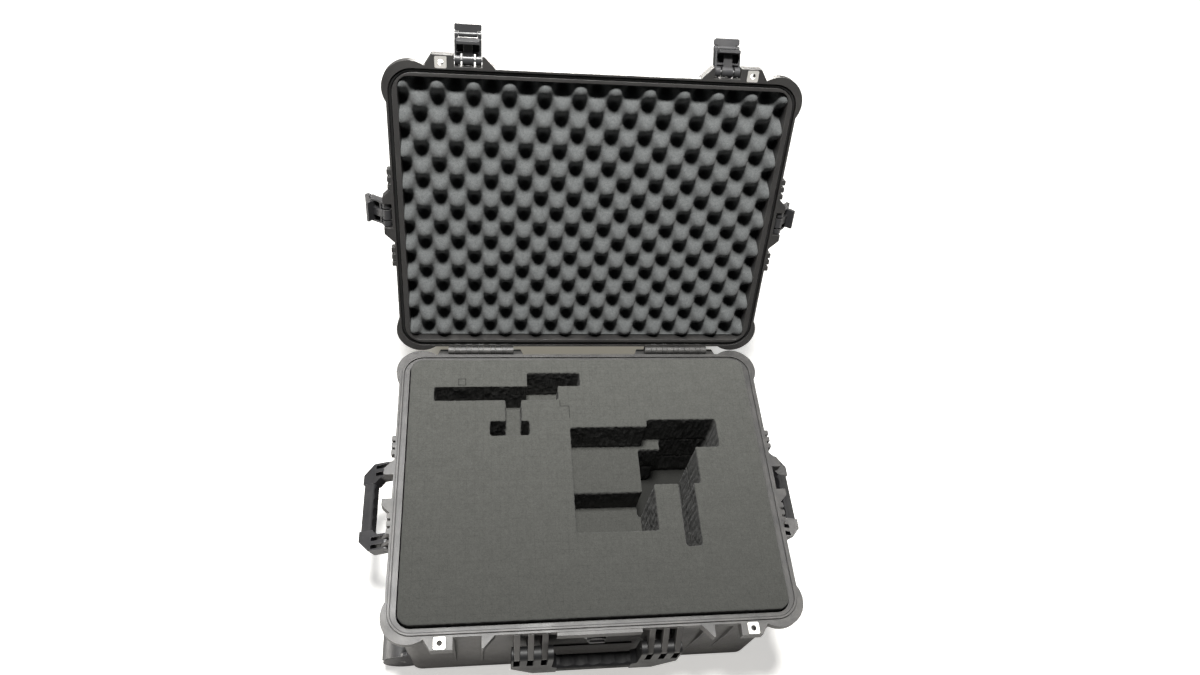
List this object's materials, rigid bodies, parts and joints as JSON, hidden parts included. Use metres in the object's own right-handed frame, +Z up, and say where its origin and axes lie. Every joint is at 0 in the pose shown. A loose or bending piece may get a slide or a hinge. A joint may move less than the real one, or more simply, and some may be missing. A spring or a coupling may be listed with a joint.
{
  "type": "wheeled hard equipment case",
  "caption": "Wheeled hard equipment case with hinged lid, toggle latches, swing handles, a pull-out trolley handle, plucked block foam in the base and egg-crate foam in the lid.",
  "frame": {"origin": "on the floor under the centre of the base, on the middle skid rib of its underside", "axes": "+Z up, front with the two latches and the long handle towards -Y, lid hinge at the back (+Y), wheels at the -X end"},
  "size_m": [0.6878, 0.7147, 0.7027],
  "materials": {
    "shell": "fine-textured dark moulded plastic",
    "black_plastic": "satin black moulded plastic",
    "latch": "satin black moulded plastic",
    "handle": "satin black moulded plastic",
    "grip_rubber": "soft matt rubber",
    "base_foam": "open-cell foam, fine grain",
    "lid_foam": "open-cell egg-crate foam",
    "seal": "neoprene cord",
    "stainless": "bright stainless",
    "steel": "satin steel",
    "tube": "anodised, satin",
    "tyre": "solid polyurethane tread",
    "grey_nylon": "grey moulded nylon",
    "bush": "natural acetal"
  },
  "bodies": {
    "base": {"base_shell": "shell", "hinge_pins": "steel", "handle_pins": "steel", "padlock_plates_base": "stainless", "valve_seal": "seal", "valve_body": "grey_nylon", "wheel_housing_front": "black_plastic", "wheel_housing_rear": "black_plastic", "wheel_axles": "steel", "trolley_outer_tubes": "tube", "trolley_cover": "black_plastic", "trolley_screws": "steel", "foam_pad": "base_foam", "foam_lower": "base_foam", "foam_middle": "base_foam", "foam_top": "base_foam"},
    "lid": {"lid_shell": "shell", "lid_seal": "seal", "padlock_plates_lid": "stainless", "lid_foam": "lid_foam", "latch_pins": "steel"},
    "latch_front_left": {"latch_arm_front_left": "latch", "latch_lever_pin_front_left": "steel"},
    "lever_front_left": {"latch_lever_front_left": "latch"},
    "latch_front_right": {"latch_arm_front_right": "latch", "latch_lever_pin_front_right": "steel"},
    "lever_front_right": {"latch_lever_front_right": "latch"},
    "latch_left": {"latch_arm_left": "latch", "latch_lever_pin_left": "steel"},
    "lever_left": {"latch_lever_left": "latch"},
    "latch_right": {"latch_arm_right": "latch", "latch_lever_pin_right": "steel"},
    "lever_right": {"latch_lever_right": "latch"},
    "handle_front_swing": {"handle_front": "handle", "handle_rubber_front": "grip_rubber"},
    "handle_left_swing": {"handle_left": "handle", "handle_rubber_left": "grip_rubber"},
    "handle_right_swing": {"handle_right": "handle", "handle_rubber_right": "grip_rubber"},
    "wheel_front": {"tyre_front": "tyre", "wheel_hub_front": "grey_nylon", "wheel_bearings_front": "bush"},
    "wheel_rear": {"tyre_rear": "tyre", "wheel_hub_rear": "grey_nylon", "wheel_bearings_rear": "bush"},
    "trolley_middle": {"trolley_middle_tubes": "tube"},
    "trolley": {"trolley_inner_tubes": "tube", "trolley_grip": "handle"},
    "trolley_release": {"trolley_button": "black_plastic"},
    "pressure_knob": {"valve_knob": "black_plastic"}
  },
  "joints": [
    {"name": "lid_hinge", "type": "hinge", "parent": "base", "child": "lid", "pos_m": [0, 0.2319, 0.24], "axis": [-1, 0, 0], "range_deg": [-113.4, 1.6]},
    {"name": "latch_front_left_pivot", "type": "hinge", "parent": "lid", "child": "latch_front_left", "pos_m": [-0.18, 0.42607, 0.66276], "axis": [-1, 0, 0], "range_deg": [-92, 53]},
    {"name": "latch_front_left_lever", "type": "hinge", "parent": "latch_front_left", "child": "lever_front_left", "pos_m": [-0.18, 0.44431, 0.68952], "axis": [-1, 0, 0], "range_deg": [0, 35]},
    {"name": "latch_front_right_pivot", "type": "hinge", "parent": "lid", "child": "latch_front_right", "pos_m": [0.18, 0.42607, 0.66276], "axis": [-1, 0, 0], "range_deg": [-114, 31]},
    {"name": "latch_front_right_lever", "type": "hinge", "parent": "latch_front_right", "child": "lever_front_right", "pos_m": [0.18, 0.45301, 0.68074], "axis": [-1, 0, 0], "range_deg": [0, 35]},
    {"name": "latch_left_pivot", "type": "hinge", "parent": "lid", "child": "latch_left", "pos_m": [-0.3, 0.33544, 0.45333], "axis": [0, -0.3971, -0.9178], "range_deg": [-127, 18]},
    {"name": "latch_left_lever", "type": "hinge", "parent": "latch_left", "child": "lever_left", "pos_m": [-0.32255, 0.35678, 0.44409], "axis": [0, -0.3971, -0.9178], "range_deg": [0, 35]},
    {"name": "latch_right_pivot", "type": "hinge", "parent": "lid", "child": "latch_right", "pos_m": [0.3, 0.33544, 0.45333], "axis": [0, 0.3971, 0.9178], "range_deg": [-138, 7]},
    {"name": "latch_right_lever", "type": "hinge", "parent": "latch_right", "child": "lever_right", "pos_m": [0.3177, 0.36033, 0.44255], "axis": [0, 0.3971, 0.9178], "range_deg": [0, 35]},
    {"name": "handle_front_hinge", "type": "hinge", "parent": "base", "child": "handle_front_swing", "pos_m": [0, -0.24, 0.195], "axis": [-1, 0, 0], "range_deg": [0, 110]},
    {"name": "handle_left_hinge", "type": "hinge", "parent": "base", "child": "handle_left_swing", "pos_m": [-0.303, -0.007, 0.17], "axis": [0, 1, 0], "range_deg": [-69, 36]},
    {"name": "handle_right_hinge", "type": "hinge", "parent": "base", "child": "handle_right_swing", "pos_m": [0.303, -0.007, 0.17], "axis": [0, -1, 0], "range_deg": [-69, 36]},
    {"name": "wheel_front_spin", "type": "hinge", "parent": "base", "child": "wheel_front", "pos_m": [-0.281, -0.183, 0.031], "axis": [0, 1, 0], "continuous": true},
    {"name": "wheel_rear_spin", "type": "hinge", "parent": "base", "child": "wheel_rear", "pos_m": [-0.281, 0.183, 0.031], "axis": [0, 1, 0], "continuous": true},
    {"name": "trolley_slide", "type": "slide", "parent": "base", "child": "trolley", "axis": [1, 0, 0], "range_m": [0, 0.4]},
    {"name": "trolley_middle_slide", "type": "slide", "parent": "base", "child": "trolley_middle", "axis": [1, 0, 0], "range_m": [0, 0.2]},
    {"name": "trolley_button_press", "type": "slide", "parent": "trolley", "child": "trolley_release", "axis": [-1, 0, 0], "range_m": [0, 0.003]},
    {"name": "valve_knob_turn", "type": "hinge", "parent": "base", "child": "pressure_knob", "pos_m": [0, -0.216, 0.194], "axis": [0, -1, 0], "range_deg": [0, 180]}
  ],
  "couplings": [
    {"joint": "trolley_middle_slide", "follows": "trolley_slide", "ratio": 0.5}
  ]
}
